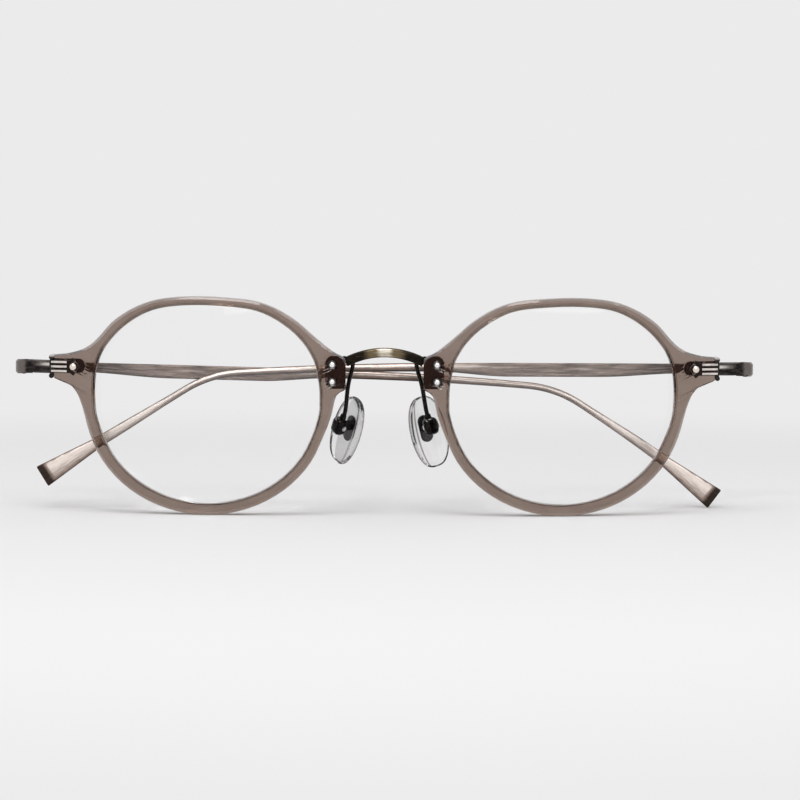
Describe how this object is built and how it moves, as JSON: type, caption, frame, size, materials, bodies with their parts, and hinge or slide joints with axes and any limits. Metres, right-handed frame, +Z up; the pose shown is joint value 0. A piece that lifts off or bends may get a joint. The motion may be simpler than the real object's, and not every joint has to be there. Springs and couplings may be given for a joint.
{
  "type": "eyeglasses",
  "caption": "Geometric eyeglasses with translucent rims, a riveted metal bridge, silicone nose pads and slim folding metal temples.",
  "frame": {"origin": "centre of the bounding box's base, on the surface that the two rims stand on, midway between the lenses", "axes": "+X towards the viewer's right as the glasses are seen from the front, +Y from the front towards the wearer, +Z up. Left and right in the names are the viewer's."},
  "size_m": [0.145, 0.0211, 0.0423],
  "materials": {
    "rim_acetate": "polished, translucent smoke",
    "lens_clear": "clear, polished",
    "bridge_gold": "antiqued, bright on the crown",
    "rivet_steel": "bright domes",
    "dark_metal": "dark gunmetal plating, glossy",
    "screw_steel": "plain",
    "insert_metal": "plain",
    "pad_silicone": "clear, soft",
    "shield_pewter": "antique pewter",
    "temple_pewter": "brushed antique pewter, dark in the hollows"
  },
  "bodies": {
    "front": {"rim_left": "rim_acetate", "rim_right": "rim_acetate", "lens_left": "lens_clear", "lens_right": "lens_clear", "bridge": "bridge_gold", "bridge_rivets_left": "rivet_steel", "bridge_rivets_right": "rivet_steel", "pad_arm_left": "dark_metal", "pad_arm_right": "dark_metal", "pad_box_left": "dark_metal", "pad_box_right": "dark_metal", "pad_screw_left": "screw_steel", "pad_screw_right": "screw_steel", "endpiece_left": "dark_metal", "endpiece_right": "dark_metal", "endpiece_shield_left": "shield_pewter", "endpiece_shield_right": "shield_pewter", "endpiece_rivet_left": "rivet_steel", "endpiece_rivet_right": "rivet_steel", "front_hinge_left": "dark_metal", "front_hinge_right": "dark_metal", "hinge_screw_left": "screw_steel", "hinge_screw_right": "screw_steel"},
    "left_temple": {"temple_left": "temple_pewter", "temple_hinge_left": "dark_metal"},
    "right_temple": {"temple_right": "temple_pewter", "temple_hinge_right": "dark_metal"},
    "left_pad": {"nose_pad_left": "pad_silicone", "pad_insert_left": "insert_metal"},
    "right_pad": {"nose_pad_right": "pad_silicone", "pad_insert_right": "insert_metal"}
  },
  "joints": [
    {"name": "left_temple_fold", "type": "hinge", "parent": "front", "child": "left_temple", "pos_m": [-0.0702, 0.00336, 0.02805], "axis": [0.0262, 0, 0.9997], "range_deg": [0, 87.4]},
    {"name": "right_temple_fold", "type": "hinge", "parent": "front", "child": "right_temple", "pos_m": [0.0702, 0.00336, 0.02805], "axis": [0, 0, -1], "range_deg": [0, 90]},
    {"name": "left_pad_rock", "type": "hinge", "parent": "front", "child": "left_pad", "pos_m": [-0.0086, -0.0029, 0.01705], "axis": [-0.5486, 0.7021, 0.454], "range_deg": [-10, 10]},
    {"name": "right_pad_rock", "type": "hinge", "parent": "front", "child": "right_pad", "pos_m": [0.0089, -0.0029, 0.01705], "axis": [0.8824, 0.3929, 0.2588], "range_deg": [-10, 10]}
  ]
}
